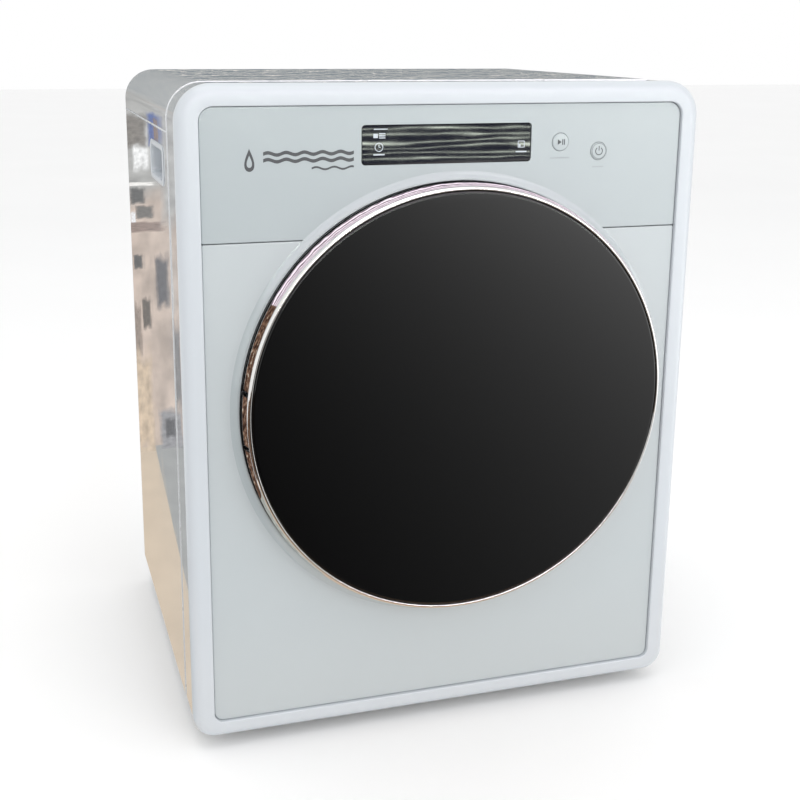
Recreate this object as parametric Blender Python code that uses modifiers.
"""Portable mini washer: a compact front-loading washing machine.

Lengths are in millimetres here and become metres in the mesh. x runs to the right,
y to the back and z up, and y = 0 is the face of the front frame, z = 0 the underside
of the cabinet. FRONT_Y and FOOT_H move all of it into the shared frame: origin at the
bottom centre of the bounding box, front towards -Y.
"""
import math

import bmesh
import bpy
from mathutils import Vector

MM = 0.001

# ---- driving dimensions (mm) -------------------------------------------------
WIDTH = 430.0
HEIGHT = 529.0
DEPTH = 348.0
FOOT_H = 10.0
FRONT_Y = -172.5
HALF = WIDTH / 2
GAP = 0.3
SHEET = 1.5

TOP_R = 28.0
BOTTOM_R = 19.0
FRAME_D = 10.0
FRAME_ROUND = 9.0
FRAME_MARGIN = 17.0
BAND_END = 50.1
COVER_SEAM_Z = 491.0

PANEL_Y = 2.8
PANEL_T = 3.0
PANEL_SEAM_Z = 411.2
RECESS_R = 178.6

AXIS_X = 6.0
AXIS_Z = 275.7
RING_R = 177.5
RING_INNER_R = 172.7
RING_FRONT_Y = -19.0
RING_BACK_Y = 1.5
GLASS_CROWN_Y = -23.0

HINGE_X = -161.0
HINGE_Y = -9.0
LUG_Z = 20.4
LUG_T = 3.0
EYE_R = 3.2
PIN_R = 1.6

WINDOW = (-74.0, 66.0, 467.0, 497.5)
POWER_C = (125.0, 474.0)
START_C = (91.0, 481.8)
BUTTON_R = 7.2

GRIP_Y = (72.0, 148.0)
GRIP_Z = (449.0, 476.0)
GRIP_DEPTH = 26.0

TUB_R = 178.0
TUB_WALL = 4.0
TUB_FRONT_Y = 51.8
TUB_SPLIT_Y = 168.0
TUB_BACK_Y = 287.0
DRUM_R = 165.0
DRUM_WALL = 2.0
DRUM_FRONT_Y = 60.0
DRUM_BACK_Y = 252.0
SHAFT_R = 12.5
PULLEY_R = 115.0
PULLEY_Y = (319.0, 331.0)
MOTOR_X = 120.0
MOTOR_Z = 62.0
MOTOR_R = 45.0
MOTOR_PULLEY_R = 10.0

SPRING_X = 100.0
SPRING_Z = (447.0, 505.6)
DAMPER_X = 120.0
MOUNT_Y = 164.0

SEGS = 36

# ---- scene -------------------------------------------------------------------
for old in list(bpy.data.objects):
    bpy.data.objects.remove(old, do_unlink=True)

PARTS = bpy.data.collections.new("portable_mini_washer")
CUTTERS = bpy.data.collections.new("cutters")
bpy.context.scene.collection.children.link(PARTS)
bpy.context.scene.collection.children.link(CUTTERS)


def material(name, rgb, metallic=0.0, roughness=0.5):
    mat = bpy.data.materials.new(name)
    mat.use_nodes = True
    shader = mat.node_tree.nodes["Principled BSDF"]
    shader.inputs["Base Color"].default_value = (*rgb, 1.0)
    shader.inputs["Metallic"].default_value = metallic
    shader.inputs["Roughness"].default_value = roughness
    mat.diffuse_color = (*rgb, 1.0)
    return mat


GLOSS_WHITE = material("gloss_white_enamel", (0.72, 0.75, 0.78), 0.0, 0.12)
SATIN_WHITE = material("satin_white_plastic", (0.74, 0.79, 0.84), 0.0, 0.35)
PANEL_WHITE = material("panel_white_plastic", (0.55, 0.60, 0.63), 0.0, 0.3)
BLACK_GLASS = material("black_glass", (0.01, 0.01, 0.012), 0.0, 0.05)
CHROME = material("chrome", (0.8, 0.8, 0.82), 1.0, 0.08)
CLEAR = material("clear_bowl", (0.75, 0.8, 0.82), 0.0, 0.05)
DARK_PLASTIC = material("dark_plastic", (0.05, 0.05, 0.055), 0.0, 0.45)
GREY_PLASTIC = material("grey_plastic", (0.35, 0.36, 0.37), 0.0, 0.5)
RUBBER = material("rubber", (0.12, 0.12, 0.125), 0.0, 0.75)
STEEL = material("stainless_steel", (0.6, 0.6, 0.61), 1.0, 0.3)
ZINC = material("galvanised_steel", (0.52, 0.54, 0.56), 1.0, 0.45)
BOARD = material("circuit_board", (0.03, 0.22, 0.09), 0.0, 0.5)
CAST_IRON = material("cast_iron", (0.16, 0.16, 0.165), 0.6, 0.7)
ALUMINIUM = material("cast_aluminium", (0.62, 0.63, 0.64), 1.0, 0.45)
HOSE = material("grey_hose", (0.3, 0.31, 0.32), 0.0, 0.6)


# ---- shape helpers -----------------------------------------------------------
def make(name, verts, faces, mat, pivot=None):
    """One object from points in mm, with its origin at `pivot` or at its middle."""
    if pivot is None:
        pivot = [
            (min(v[i] for v in verts) + max(v[i] for v in verts)) / 2 for i in range(3)
        ]
    mesh = bpy.data.meshes.new(name)
    mesh.from_pydata(
        [tuple((v[i] - pivot[i]) * MM for i in range(3)) for v in verts], [], faces
    )
    work = bmesh.new()
    work.from_mesh(mesh)
    bmesh.ops.remove_doubles(work, verts=work.verts, dist=1e-7)
    bmesh.ops.recalc_face_normals(work, faces=work.faces)
    work.to_mesh(mesh)
    work.free()
    obj = bpy.data.objects.new(name, mesh)
    obj.location = (
        pivot[0] * MM,
        (pivot[1] + FRONT_Y) * MM,
        (pivot[2] + FOOT_H) * MM,
    )
    obj.data.materials.append(mat)
    PARTS.objects.link(obj)
    return obj


def loft(name, loops, mat, ring=False, pivot=None):
    """Loops of equal length joined in order: capped at both ends, or closed on itself."""
    count = len(loops[0])
    verts = [v for loop in loops for v in loop]
    faces = []
    spans = len(loops) if ring else len(loops) - 1
    for i in range(spans):
        a, b = i * count, ((i + 1) % len(loops)) * count
        for j in range(count):
            k = (j + 1) % count
            faces.append((a + j, a + k, b + k, b + j))
    if not ring:
        faces.append(tuple(range(count)))
        faces.append(tuple(range((len(loops) - 1) * count, len(loops) * count)))
    return make(name, verts, faces, mat, pivot)


def on_axis(axis, u, v, h):
    """A point at (u, v) across an axis and h along it."""
    return {"X": (h, u, v), "Y": (u, h, v), "Z": (u, v, h)}[axis]


def prism(name, outline, axis, h0, h1, mat, pivot=None):
    loops = [[on_axis(axis, u, v, h) for u, v in outline] for h in (h0, h1)]
    return loft(name, loops, mat, pivot=pivot)


def revolve(name, profile, centre, axis, mat, segs=SEGS):
    """A profile of (radius, height) turned about an axis; radius 0 makes a pole."""
    verts, rows = [], []
    for r, h in profile:
        if r == 0:
            verts.append(on_axis(axis, centre[0], centre[1], h))
            rows.append([len(verts) - 1] * segs)
            continue
        row = []
        for i in range(segs):
            t = 2 * math.pi * i / segs
            verts.append(
                on_axis(
                    axis, centre[0] + r * math.cos(t), centre[1] + r * math.sin(t), h
                )
            )
            row.append(len(verts) - 1)
        rows.append(row)
    closed = profile[0][0] != 0
    faces = []
    for i in range(len(rows) if closed else len(rows) - 1):
        a, b = rows[i], rows[(i + 1) % len(rows)]
        for j in range(segs):
            k = (j + 1) % segs
            corners = []
            for c in (a[j], a[k], b[k], b[j]):
                if c not in corners:
                    corners.append(c)
            if len(corners) > 2:
                faces.append(tuple(corners))
    pivot = on_axis(
        axis, centre[0], centre[1], (min(p[1] for p in profile) + max(p[1] for p in profile)) / 2
    )
    return make(name, verts, faces, mat, pivot)


def arc(cu, cv, r, start, end, steps):
    """Points on an arc, in degrees."""
    return [
        (
            cu + r * math.cos(math.radians(start + (end - start) * i / steps)),
            cv + r * math.sin(math.radians(start + (end - start) * i / steps)),
        )
        for i in range(steps + 1)
    ]


def rounded(u0, u1, v0, v1, r_top, r_bottom, steps=5):
    """A rectangle with rounded corners, anticlockwise from the right-hand bottom corner."""
    return (
        arc(u1 - r_bottom, v0 + r_bottom, r_bottom, -90, 0, steps)
        + arc(u1 - r_top, v1 - r_top, r_top, 0, 90, steps)
        + arc(u0 + r_top, v1 - r_top, r_top, 90, 180, steps)
        + arc(u0 + r_bottom, v0 + r_bottom, r_bottom, 180, 270, steps)
    )


def box(name, x, y, z, mat, round_r=0.0):
    outline = [(x[0], z[0]), (x[1], z[0]), (x[1], z[1]), (x[0], z[1])]
    obj = prism(name, outline, "Y", y[0], y[1], mat)
    if round_r:
        bevel(obj, round_r)
    return obj


def bevel(obj, width, segments=2):
    mod = obj.modifiers.new("bevel", "BEVEL")
    mod.width = width * MM
    mod.segments = segments
    mod.limit_method = "ANGLE"
    mod.angle_limit = math.radians(40)


def as_cutter(obj):
    PARTS.objects.unlink(obj)
    CUTTERS.objects.link(obj)
    obj.hide_render = True
    obj.display_type = "WIRE"


def boolean(obj, other, operation):
    mod = obj.modifiers.new(operation.lower(), "BOOLEAN")
    mod.operation = operation
    mod.solver = "EXACT"
    mod.object = other
    if other.name in PARTS.objects:
        as_cutter(other)
    return obj


def cut(obj, other):
    return boolean(obj, other, "DIFFERENCE")


def add(obj, other):
    return boolean(obj, other, "UNION")


def tube(name, path, radius, mat, sides=7):
    """A round bar along a path of points, with flat ends."""
    points = [Vector(p) for p in path]
    loops = []
    side = None
    for i, point in enumerate(points):
        ahead = points[min(i + 1, len(points) - 1)] - points[max(i - 1, 0)]
        ahead.normalize()
        if side is None:
            side = ahead.orthogonal().normalized()
        else:
            side = (side - ahead * side.dot(ahead)).normalized()
        other = ahead.cross(side)
        loops.append(
            [
                tuple(
                    point
                    + radius * math.cos(2 * math.pi * j / sides) * side
                    + radius * math.sin(2 * math.pi * j / sides) * other
                )
                for j in range(sides)
            ]
        )
    return loft(name, loops, mat)


def smooth(path, steps=3):
    """Catmull-Rom points through a short list of corners."""
    pts = [Vector(p) for p in path]
    pts = [2 * pts[0] - pts[1]] + pts + [2 * pts[-1] - pts[-2]]
    out = []
    for i in range(1, len(pts) - 2):
        a, b, c, d = pts[i - 1 : i + 3]
        for s in range(steps):
            t = s / steps
            out.append(
                0.5
                * (
                    2 * b
                    + (c - a) * t
                    + (2 * a - 5 * b + 4 * c - d) * t**2
                    + (3 * b - a - 3 * c + d) * t**3
                )
            )
    out.append(pts[-2])
    return [tuple(p) for p in out]


def sleeve(path, thickness):
    """The closed profile of a thin wall that follows a path of (radius, height)."""
    half = thickness / 2
    one, two = [], []
    for i, (r, h) in enumerate(path):
        a, b = path[max(i - 1, 0)], path[min(i + 1, len(path) - 1)]
        dr, dh = b[0] - a[0], b[1] - a[1]
        size = math.hypot(dr, dh)
        nr, nh = -dh / size, dr / size
        one.append((r + nr * half, h + nh * half))
        two.append((r - nr * half, h - nh * half))
    return one + two[::-1]


def washer_frame(inset, y, steps=5):
    """The cabinet's front outline, drawn in by `inset`, at depth y."""
    r_top = max(TOP_R - inset, 1.0)
    r_bottom = max(BOTTOM_R - inset, 1.0)
    outline = rounded(
        -HALF + inset, HALF - inset, inset, HEIGHT - inset, r_top, r_bottom, steps
    )
    return [(u, y, v) for u, v in outline]


# ---- cabinet shell -----------------------------------------------------------
def opening_loop(y, inset=0.0):
    """The inner edge of the front frame: a side margin of 17, top 16.4, bottom 15."""
    return [
        (u, y, v)
        for u, v in rounded(
            -HALF + FRAME_MARGIN + inset,
            HALF - FRAME_MARGIN - inset,
            15.0 + inset,
            HEIGHT - 16.4 - inset,
            11.0 - inset,
            8.0 - inset,
        )
    ]


def front_frame():
    loops = [washer_frame(0.0, FRAME_D)]
    for step in range(4):
        t = math.radians(90 * step / 3)
        inset = FRAME_ROUND * (1 - math.cos(t))
        depth = (FRAME_D - 0.6) * (1 - math.sin(t))
        loops.append(washer_frame(inset, depth))
    loops.append(opening_loop(0.0, -0.7))
    loops.append(opening_loop(0.7))
    loops.append(opening_loop(FRAME_D))
    loft("front_frame", loops, SATIN_WHITE, ring=True)


def front_band():
    y0, y1 = FRAME_D + GAP, BAND_END
    loops = [
        washer_frame(0.5, y0),
        washer_frame(0.0, y0 + 0.5),
        washer_frame(0.0, y1 - 0.5),
        washer_frame(0.5, y1),
        washer_frame(SHEET, y1),
        washer_frame(SHEET, y0),
    ]
    loft("front_band", loops, GLOSS_WHITE, ring=True)


def top_cover():
    z0 = COVER_SEAM_Z + 0.2
    outer = (
        [(HALF, z0)]
        + arc(HALF - TOP_R, HEIGHT - TOP_R, TOP_R, 0, 90, 8)
        + arc(-HALF + TOP_R, HEIGHT - TOP_R, TOP_R, 90, 180, 8)
        + [(-HALF, z0)]
    )
    r = TOP_R - SHEET
    inner = (
        [(-HALF + SHEET, z0)]
        + arc(-HALF + TOP_R, HEIGHT - TOP_R, r, 180, 90, 8)
        + arc(HALF - TOP_R, HEIGHT - TOP_R, r, 90, 0, 8)
        + [(HALF - SHEET, z0)]
    )
    prism("top_cover", outer + inner, "Y", BAND_END + 0.4, DEPTH - 1.5, GLOSS_WHITE)


def side_panel(name, sign):
    z1 = COVER_SEAM_Z - 0.2
    outer = [(HALF, z1), (HALF, BOTTOM_R)] + [
        p for p in arc(HALF - BOTTOM_R, BOTTOM_R, BOTTOM_R, 0, -90, 6)[1:]
    ]
    inner = (
        [(HALF - 25, 0.0), (HALF - 25, SHEET)]
        + arc(HALF - BOTTOM_R, BOTTOM_R, BOTTOM_R - SHEET, -90, 0, 6)
        + [(HALF - SHEET, z1)]
    )
    outline = [(sign * u, v) for u, v in outer + inner]
    panel = prism(name, outline, "Y", BAND_END + 0.4, DEPTH - 1.5, GLOSS_WHITE)
    (y0, y1), (z0, z1) = GRIP_Y, GRIP_Z
    hole = rounded(y0, y1, z0, z1, 6, 6, 4)
    if sign > 0:  # its corners are under the cup's rim
        hole = [(y0, z0), (y1, z0), (y1, z1), (y0, z1)]
    cut(panel, prism(name + "_grip_hole", hole, "X", sign * 205, sign * 222, DARK_PLASTIC))


def grip_loop(x, inset):
    r = max(6.0 - inset, 1.0)
    outline = rounded(
        GRIP_Y[0] + inset, GRIP_Y[1] - inset, GRIP_Z[0] + inset, GRIP_Z[1] - inset, r, r, 4
    )
    return [(x, u, v) for u, v in outline]


def grip_cup(name, sign):
    face = HALF + 0.15
    bottom = HALF - GRIP_DEPTH
    loops = [
        (bottom, 7.0),
        (bottom + 1.2, 3.0),
        (HALF - 1.0, 1.9),
        (face + 0.85, 1.2),
        (face + 0.85, -1.8),
        (face, -2.8),
        (face, 0.3),
        (bottom + 0.5, 0.6),
        (bottom - 1.5, 5.5),
    ]
    loft(name, [grip_loop(sign * x, inset) for x, inset in loops], SATIN_WHITE)


def panel_outline(z0, z1, r_top, r_bottom):
    return rounded(
        -HALF + FRAME_MARGIN + 0.4, HALF - FRAME_MARGIN - 0.4, z0, z1, r_top, r_bottom, 5
    )


def soft_plate(name, z0, z1, r_top, r_bottom):
    """A front panel with a rounded front edge."""
    loops = []
    for inset, y in ((0.0, PANEL_Y + PANEL_T), (0.0, PANEL_Y + 0.8), (0.3, PANEL_Y + 0.2), (0.9, PANEL_Y)):
        outline = rounded(
            -HALF + FRAME_MARGIN + 0.4 + inset,
            HALF - FRAME_MARGIN - 0.4 - inset,
            z0 + inset,
            z1 - inset,
            max(r_top - inset, 0.6),
            max(r_bottom - inset, 0.6),
            5,
        )
        loops.append([(u, y, v) for u, v in outline])
    return loft(name, loops, PANEL_WHITE)


def door_recess(name):
    slope = PANEL_Y + 2.5
    profile = [
        (0, -6.0),
        (RECESS_R + slope + 6.0, -6.0),
        (RECESS_R, slope),
        (RECESS_R, 12.0),
        (0, 12.0),
    ]
    return revolve(name, profile, (AXIS_X, AXIS_Z), "Y", DARK_PLASTIC, 72)


def control_panel():
    panel = soft_plate("control_panel", PANEL_SEAM_Z + 0.25, HEIGHT - 16.8, 10.6, 1.6)
    cut(panel, door_recess("control_panel_recess"))
    u0, u1, v0, v1 = WINDOW
    cut(panel, prism("window_hole", rounded(u0, u1, v0, v1, 3, 3, 3), "Y", -3, 9, DARK_PLASTIC))
    for name, (x, z) in (("power_hole", POWER_C), ("start_hole", START_C)):
        profile = [(0, -3), (BUTTON_R + 0.3, -3), (BUTTON_R + 0.3, 9), (0, 9)]
        cut(panel, revolve(name, profile, (x, z), "Y", DARK_PLASTIC, 24))


def lower_front_panel():
    panel = soft_plate("lower_front_panel", 15.4, PANEL_SEAM_Z - 0.25, 1.6, 7.6)
    cut(panel, door_recess("lower_panel_recess"))


def display_window():
    u0, u1, v0, v1 = WINDOW
    loops = []
    for inset, y in ((0.3, PANEL_Y + PANEL_T - 0.3), (0.3, PANEL_Y + 0.3), (0.7, PANEL_Y - 0.05)):
        outline = rounded(u0 + inset, u1 - inset, v0 + inset, v1 - inset, 2.7, 2.7, 3)
        loops.append([(u, y, v) for u, v in outline])
    loft("display_window", loops, BLACK_GLASS)


def button(name, centre):
    r = BUTTON_R - 0.1
    profile = [(0, 1.7), (r - 1.0, 1.8), (r, 2.5), (r, 5.5), (0, 5.5)]
    revolve(name, profile, centre, "Y", SATIN_WHITE, 24)


def front_bulkhead():
    outline = rounded(
        -HALF + FRAME_MARGIN + 0.4, HALF - FRAME_MARGIN - 0.4, 15.4, 460.0, 2, 7.6, 3
    )
    plate = prism("front_bulkhead", outline, "Y", 6.1, 8.0, SATIN_WHITE)
    profile = [(0, 2), (134.0, 2), (134.0, 12), (0, 12)]
    cut(plate, revolve("porthole", profile, (AXIS_X, AXIS_Z), "Y", DARK_PLASTIC, SEGS))
    for sign in (-1, 1):
        z = AXIS_Z + sign * (LUG_Z + LUG_T / 2)
        cut(plate, box("lug_slot_%s" % ("low" if sign < 0 else "high"), (-167, -155), (2, 12), (z - 2.5, z + 2.5), DARK_PLASTIC))
    cut(plate, box("latch_slot", (159, 176), (2, 12), (266.7, 284.7), DARK_PLASTIC))


def back_panel():
    outline = rounded(-HALF, HALF, 0, HEIGHT, TOP_R, BOTTOM_R, 6)
    panel = prism("back_panel", outline, "Y", DEPTH - 1.2, DEPTH + 0.6, GLOSS_WHITE)
    for name, x, z, r in (("inlet_hole", 150, 470, 12.5), ("drain_hole", -150, 60, 12.5)):
        profile = [(0, 340), (r, 340), (r, 356), (0, 356)]
        cut(panel, revolve(name, profile, (x, z), "Y", DARK_PLASTIC, 24))
    cut(panel, box("mains_hole", (-166, -134), (340, 356), (458, 482), DARK_PLASTIC))


def rear_service_cover():
    loops = []
    for inset, y in ((0.0, DEPTH + 0.9), (0.0, DEPTH + 3.4), (2.0, DEPTH + 4.6)):
        outline = rounded(-124 + inset, 136 - inset, 40 + inset, 410 - inset, 14, 14, 4)
        loops.append([(u, y, v) for u, v in outline])
    loft("rear_service_cover", loops, GLOSS_WHITE)


def base_and_feet():
    box("base_pan", (-189.7, 189.7), (BAND_END + 0.4, DEPTH - 1.5), (0.0, SHEET), ZINC)
    for name, x, y in (
        ("foot_front_left", -168, 80),
        ("foot_front_right", 168, 80),
        ("foot_rear_left", -168, 318),
        ("foot_rear_right", 168, 318),
    ):
        profile = [(0, -FOOT_H), (13.0, -FOOT_H), (15.0, -FOOT_H + 2), (17.0, -GAP), (0, -GAP)]
        revolve(name, profile, (x, y), "Z", RUBBER, 16)


# ---- door --------------------------------------------------------------------
def door_glass():
    profile = [(0, GLASS_CROWN_Y)]
    for r in (75.0, 130.0):
        profile.append((r, GLASS_CROWN_Y + 4.2 * (r / 172.0) ** 2))
    profile += [(171.4, -18.8), (172.3, -17.8), (172.3, -14.8), (0, -14.8)]
    revolve("door_glass", profile, (AXIS_X, AXIS_Z), "Y", BLACK_GLASS, 56)


def door_trim_ring():
    profile = [
        (RING_INNER_R, RING_FRONT_Y),
        (RING_INNER_R, RING_BACK_Y),
        (RING_R - 0.6, RING_BACK_Y),
        (RING_R, RING_BACK_Y - 0.8),
        (RING_R, -13.5),
        (RING_R - 0.7, -16.2),
        (RING_R - 2.4, -18.3),
    ]
    ring = revolve("door_trim_ring", profile, (AXIS_X, AXIS_Z), "Y", CHROME, 56)
    for sign in (-1, 1):
        z = AXIS_Z + sign * (LUG_Z + LUG_T / 2)
        cut(ring, box("ring_slot_%s" % ("low" if sign < 0 else "high"), (-176, -150), (-16.6, 8), (z - 2.2, z + 2.2), DARK_PLASTIC))


def door_inner_frame():
    profile = [
        (119.0, -14.4),
        (119.0, 3.4),
        (170.0, 3.4),
        (171.6, 1.6),
        (171.6, -14.4),
        (150.0, -14.4),
        (150.0, -2.0),
        (135.0, -2.0),
        (135.0, -14.4),
    ]
    frame = revolve("door_inner_frame", profile, (AXIS_X, AXIS_Z), "Y", DARK_PLASTIC, 44)
    cut(frame, box("hinge_pocket", (-190, -145), (-20, 8), (AXIS_Z - 30, AXIS_Z + 30), DARK_PLASTIC))
    hook = [
        (163.0, 0.5),
        (167.5, 0.5),
        (167.5, 15.0),
        (170.5, 15.0),
        (170.5, 17.0),
        (167.0, 20.0),
        (163.0, 20.0),
    ]
    add(frame, prism("latch_hook", hook, "Z", 269.7, 281.7, ZINC))


def door_bowl():
    profile = [
        (0, 66.0),
        (94.0, 63.0),
        (103.0, 57.0),
        (107.0, 48.0),
        (117.8, 4.0),
        (117.8, -12.0),
        (114.6, -12.0),
        (114.6, 4.0),
        (104.0, 47.0),
        (100.6, 54.5),
        (93.0, 59.8),
        (0, 62.7),
    ]
    revolve("door_bowl", profile, (AXIS_X, AXIS_Z), "Y", CLEAR, 40)


def hinge():
    """The fixed bracket with its two lugs, the pin, and the door's own knuckle."""
    bracket = box("hinge_bracket", (-188, -144), (8.4, 10.4), (AXIS_Z - 42, AXIS_Z + 42), ZINC)
    for sign in (-1, 1):
        label = "low" if sign < 0 else "high"
        z = AXIS_Z + sign * (LUG_Z + LUG_T / 2)
        outline = (
            arc(HINGE_X, HINGE_Y, EYE_R, 180, 360, 8)
            + [(HINGE_X + EYE_R, 9.4), (HINGE_X - EYE_R, 9.4)]
        )
        lug = prism("lug_" + label, outline, "Z", z - LUG_T / 2, z + LUG_T / 2, ZINC)
        add(bracket, lug)
    bore_r = PIN_R + GAP
    bore = [(0, AXIS_Z - 40), (bore_r, AXIS_Z - 40), (bore_r, AXIS_Z + 40), (0, AXIS_Z + 40)]
    cut(bracket, revolve("lug_bore", bore, (HINGE_X, HINGE_Y), "Z", ZINC, 16))
    pin = [(0, AXIS_Z - 27), (PIN_R, AXIS_Z - 27), (PIN_R, AXIS_Z + 27), (0, AXIS_Z + 27)]
    revolve("hinge_pin", pin, (HINGE_X, HINGE_Y), "Z", STEEL, 16)
    outline = (
        [(-145.3, HINGE_Y - EYE_R), (-145.3, HINGE_Y)]
        + arc(HINGE_X, HINGE_Y, EYE_R, 0, 270, 9)
    )
    knuckle = prism("hinge_knuckle", outline, "Z", AXIS_Z - 20, AXIS_Z + 20, ZINC)
    cut(knuckle, revolve("knuckle_bore", bore, (HINGE_X, HINGE_Y), "Z", ZINC, 16))


def door_lock():
    lock = box("door_lock", (153, 184), (8.4, 32), (258, 293.4), DARK_PLASTIC, 1.0)
    cut(lock, box("lock_mouth", (159, 176), (5, 26), (266.7, 284.7), DARK_PLASTIC))


# ---- suspended tub -----------------------------------------------------------
def tub():
    inner = TUB_R - TUB_WALL
    y0, y1 = TUB_FRONT_Y, TUB_SPLIT_Y
    profile = [
        (131.0, y0),
        (131.0, y0 + 4),
        (inner - 6, y0 + 4),
        (inner, y0 + 10),
        (inner, y1),
        (TUB_R + 6, y1),
        (TUB_R + 6, y1 - 8),
        (TUB_R, y1 - 8),
        (TUB_R, y0 + 6),
        (TUB_R - 6, y0),
    ]
    front = revolve("tub_front_half", profile, (AXIS_X, AXIS_Z), "Y", GREY_PLASTIC, 40)
    for sign in (-1, 1):
        label = "left" if sign < 0 else "right"
        x = AXIS_X + sign * SPRING_X
        add(front, box("spring_lug_" + label, (x - 11, x + 11), (153, 167), (426, SPRING_Z[0] - GAP), GREY_PLASTIC))
        x = AXIS_X + sign * DAMPER_X
        add(front, box("damper_lug_" + label, (x - 13, x + 13), (153, 167), (118, 141), GREY_PLASTIC))
    y0, y1 = TUB_SPLIT_Y + GAP, TUB_BACK_Y
    profile = [
        (26.0, 277.0),
        (26.0, 316.0),
        (33.0, 316.0),
        (36.0, y1),
        (TUB_R - 5, y1),
        (TUB_R, y1 - 5),
        (TUB_R, y0 + 8),
        (TUB_R + 6, y0 + 8),
        (TUB_R + 6, y0),
        (inner, y0),
        (inner, y1 - 4),
        (36.0, y1 - 4),
        (33.0, 277.0),
    ]
    revolve("tub_rear_half", profile, (AXIS_X, AXIS_Z), "Y", GREY_PLASTIC, 40)


def bearings():
    for name, y0, y1, mat in (
        ("front_bearing", 279.0, 293.0, STEEL),
        ("rear_bearing", 302.0, 314.0, STEEL),
    ):
        profile = [(12.8, y0), (12.8, y1), (25.7, y1), (25.7, y0)]
        revolve(name, profile, (AXIS_X, AXIS_Z), "Y", mat, 20)


def counterweight():
    outline = rounded(-60, 72, 440, 480, 8, 2, 4)
    block = prism("counterweight", outline, "Y", 74, 148, CAST_IRON)
    profile = [(0, 60), (TUB_R + GAP + 0.1, 60), (TUB_R + GAP + 0.1, 160), (0, 160)]
    cut(block, revolve("counterweight_seat", profile, (AXIS_X, AXIS_Z), "Y", CAST_IRON, 64))


def motor():
    centre = (MOTOR_X, MOTOR_Z)
    r = MOTOR_R
    profile = [
        (5.6, 190), (r - 6, 190), (r, 196), (r, 279), (r - 6, 285), (5.6, 285),
    ]
    revolve("motor_body", profile, centre, "Y", ALUMINIUM, 24)
    bracket = box("motor_bracket", (98, 142), (208, 264), (92, 165), ZINC)
    profile = [(0, 180), (TUB_R + 0.4, 180), (TUB_R + 0.4, 300), (0, 300)]
    cut(bracket, revolve("bracket_seat", profile, (AXIS_X, AXIS_Z), "Y", ZINC, 64))
    profile = [(0, 180), (r + 0.3, 180), (r + 0.3, 300), (0, 300)]
    cut(bracket, revolve("bracket_saddle", profile, centre, "Y", ZINC, 48))
    y0, y1 = PULLEY_Y
    rp = MOTOR_PULLEY_R
    profile = [
        (0, 192), (5.2, 192), (5.2, y0), (rp + 2.6, y0), (rp + 2.6, y0 + 1.2),
        (rp, y0 + 1.4), (rp, y1 - 1.4), (rp + 2.6, y1 - 1.2), (rp + 2.6, y1), (0, y1),
    ]
    revolve("motor_rotor", profile, centre, "Y", STEEL, 16)


def belt():
    """A flat belt round the two pulleys, just clear of them."""
    big, small = PULLEY_R - 2 + GAP, MOTOR_PULLEY_R + GAP
    dx, dz = MOTOR_X - AXIS_X, MOTOR_Z - AXIS_Z
    span = math.hypot(dx, dz)
    base = math.degrees(math.atan2(dz, dx))
    half = math.degrees(math.acos((big - small) / span))

    def run(extra):
        return arc(AXIS_X, AXIS_Z, big + extra, base + half, base + 360 - half, 32) + arc(
            MOTOR_X, MOTOR_Z, small + extra, base - half, base + half, 8
        )

    y0, y1 = PULLEY_Y[0] + 1.8, PULLEY_Y[1] - 1.8
    loops = []
    for extra, y in ((0.0, y0), (2.0, y0), (2.0, y1), (0.0, y1)):
        loops.append([(u, y, v) for u, v in run(extra)])
    loft("drive_belt", loops, RUBBER, ring=True)


def drum():
    y0, y1 = DRUM_FRONT_Y, DRUM_BACK_Y
    r = DRUM_R
    profile = [
        (127.0, y0), (127.0, y0 + 4), (129.0, y0 + 4), (131.0, y0 + 2.2),
        (r - 6, y0 + 3.0), (r - DRUM_WALL, y0 + 7), (r - DRUM_WALL, y1),
        (r, y1), (r, y0 + 5.5), (r - 5, y0 + 1.0), (131.0, y0 + 0.2),
    ]
    revolve("drum_shell", profile, (AXIS_X, AXIS_Z), "Y", STEEL, 40)
    profile = [
        (0, y1 - 6), (50, y1 - 6), (70, y1 + 0.6), (r, y1 + 0.6), (r, y1 + 2.6),
        (70, y1 + 2.6), (50, y1 - 4), (0, y1 - 4),
    ]
    revolve("drum_back", profile, (AXIS_X, AXIS_Z), "Y", STEEL, 40)
    for index in range(3):
        mid = 90 + 120 * index
        outline = arc(AXIS_X, AXIS_Z, r - DRUM_WALL - 1.3, mid - 8, mid + 8, 4) + arc(
            AXIS_X, AXIS_Z, 131.0, mid + 2.2, mid - 2.2, 2
        )
        paddle = prism("drum_paddle_%d" % (index + 1), outline, "Y", 78, 240, GREY_PLASTIC)
        bevel(paddle, 3.0, 2)


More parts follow.
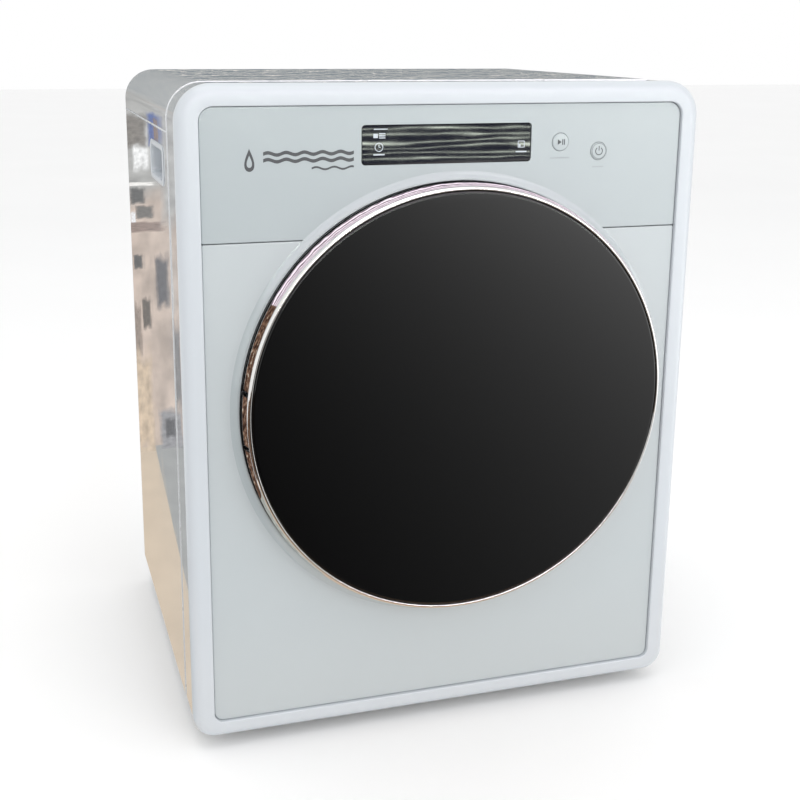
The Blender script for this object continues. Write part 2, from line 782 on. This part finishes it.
def spider_and_pulley():
    profile = [
        (0, 256.4), (28, 256.4), (28, 268), (16, 274), (SHAFT_R, 275.5), (SHAFT_R, 333), (0, 333),
    ]
    spider = revolve("drum_spider", profile, (AXIS_X, AXIS_Z), "Y", ALUMINIUM, 24)
    for index in range(3):
        a = math.radians(30 + 120 * index)
        u, n = (math.cos(a), math.sin(a)), (-math.sin(a), math.cos(a))
        outline = []
        for along, across in ((10, -12), (158, -7), (158, 7), (10, 12)):
            outline.append(
                (
                    AXIS_X + u[0] * along + n[0] * across,
                    AXIS_Z + u[1] * along + n[1] * across,
                )
            )
        add(spider, prism("spider_arm_%d" % (index + 1), outline, "Y", 256.4, 264.0, ALUMINIUM))
    y0, y1 = PULLEY_Y
    r = PULLEY_R
    profile = [
        (SHAFT_R + GAP, y0), (30, y0), (30, y0 + 4), (r - 8, y0 + 4), (r - 8, y0),
        (r + 1.2, y0), (r - 2, y0 + 1.4), (r - 2, y1 - 1.4),
        (r + 1.2, y1), (r - 8, y1), (r - 8, y0 + 7), (30, y0 + 7),
        (30, y1), (SHAFT_R + GAP, y1),
    ]
    pulley = revolve("drum_pulley", profile, (AXIS_X, AXIS_Z), "Y", ALUMINIUM, 40)
    for index in range(5):
        a = math.radians(91.7 + 72 * index)
        hole = [(0, 312.3), (19, 312.3), (19, 341.1), (0, 341.1)]
        centre = (AXIS_X + 67 * math.cos(a), AXIS_Z + 67 * math.sin(a))
        cut(pulley, revolve("pulley_window_%d" % (index + 1), hole, centre, "Y", ALUMINIUM, 12))


# ---- suspension and services -------------------------------------------------
def crossbar():
    z0 = SPRING_Z[1] + GAP
    outline = [(-209, z0), (209, z0), (203.5, 519), (-203.5, 519)]
    prism("suspension_crossbar", outline, "Y", MOUNT_Y - 12, MOUNT_Y + 12, ZINC)


def coil(name, x):
    z0, z1 = SPRING_Z
    turns, steps, r = 6, 9, 8.5
    wire = 1.5
    path = [(x, MOUNT_Y - 4, z0), (x, MOUNT_Y - 4, z0 + 4)]
    for i in range(turns * steps + 1):
        t = i / (turns * steps)
        a = 2 * math.pi * turns * t
        path.append(
            (
                x + r * math.cos(a),
                MOUNT_Y - 4 + r * math.sin(a),
                z0 + 8 + (z1 - z0 - 16) * t,
            )
        )
    path += [(x, MOUNT_Y - 4, z1 - 4), (x, MOUNT_Y - 4, z1)]
    tube(name, path, wire, STEEL, 5)


def dampers():
    for label, sign in (("left", -1), ("right", 1)):
        x = AXIS_X + sign * DAMPER_X
        coil("spring_" + label, AXIS_X + sign * SPRING_X)
        profile = [(5.6, 90), (11, 90), (12, 88), (12, 12), (16, 9), (16, SHEET + GAP), (5.6, SHEET + GAP)]
        revolve("damper_cylinder_" + label, profile, (x, MOUNT_Y - 4), "Z", DARK_PLASTIC, 14)
        profile = [(0, 40), (5, 40), (5, 112), (9, 113), (9, 117.7), (0, 117.7)]
        revolve("damper_rod_" + label, profile, (x, MOUNT_Y - 4), "Z", STEEL, 14)


def door_seal():
    path = [
        (143.0, 9.8), (131.0, 9.8), (118.0, 19.5), (117.4, 25.5),
        (131.0, 30.0), (134.5, 34.0), (126.0, 41.0),
        (127.0, 47.4), (132.0, 50.0), (143.0, 50.1),
    ]
    revolve("door_seal", sleeve(path, 2.4), (AXIS_X, AXIS_Z), "Y", RUBBER, 36)


def control_board():
    box("control_board", (-96, 146), (7.4, 9.0), (462, 506), BOARD)


def water_parts():
    valve = box("inlet_valve", (134, 172), (322, DEPTH - 1.6), (452, 488), SATIN_WHITE, 2.0)
    profile = [(0, 330), (11.5, 330), (11.5, 368), (6.5, 368), (6.5, 352), (0, 352)]
    add(valve, revolve("inlet_spigot", profile, (150, 470), "Y", SATIN_WHITE, 24))
    pump = revolve(
        "drain_pump",
        [(0, 62), (20, 62), (24, 66), (24, 88), (30, 90), (30, 118), (0, 118)],
        (-130, 46), "Y", GREY_PLASTIC, 20,
    )
    add(pump, box("pump_foot", (-156, -104), (70, 112), (SHEET + GAP, 22), GREY_PLASTIC))
    profile = [(0, 336), (16.5, 336), (16.5, 346.4), (11.5, 346.4), (11.5, 368), (8, 368), (8, 344), (0, 344)]
    revolve("drain_outlet", profile, (-150, 60), "Y", DARK_PLASTIC, 24)
    mains = box("mains_inlet", (-165.5, -134.5), (330, 353), (458.5, 481.5), DARK_PLASTIC)
    cut(mains, box("mains_mouth", (-161, -139), (338, 356), (463, 477), DARK_PLASTIC))
    tube(
        "drain_hose",
        smooth([(-130, 119.8, 46), (-132, 140, 46), (-158, 185, 42), (-164, 250, 46), (-151, 310, 59), (-150, 334.6, 60)]),
        9.0, HOSE,
    )
    tube(
        "sump_hose",
        smooth([(-40, 108, 100), (-42, 108, 84), (-56, 104, 62), (-78, 100, 52), (-97.4, 100, 50)]),
        9.0, HOSE,
    )
    tube(
        "fill_hose",
        smooth([(146, 320.2, 470), (146, 300, 470), (138, 240, 474), (120, 216, 466), (106, 210, 446), (103.5, 210, 432)]),
        8.0, HOSE,
    )


front_frame()
front_band()
top_cover()
side_panel("left_side_panel", -1)
side_panel("right_side_panel", 1)
grip_cup("left_grip_cup", -1)
grip_cup("right_grip_cup", 1)
control_panel()
display_window()
button("power_button", POWER_C)
button("start_button", START_C)
lower_front_panel()
front_bulkhead()
back_panel()
rear_service_cover()
base_and_feet()
control_board()
door_glass()
door_trim_ring()
door_inner_frame()
door_bowl()
hinge()
door_lock()
tub()
bearings()
counterweight()
motor()
belt()
drum()
spider_and_pulley()
crossbar()
dampers()
door_seal()
water_parts()
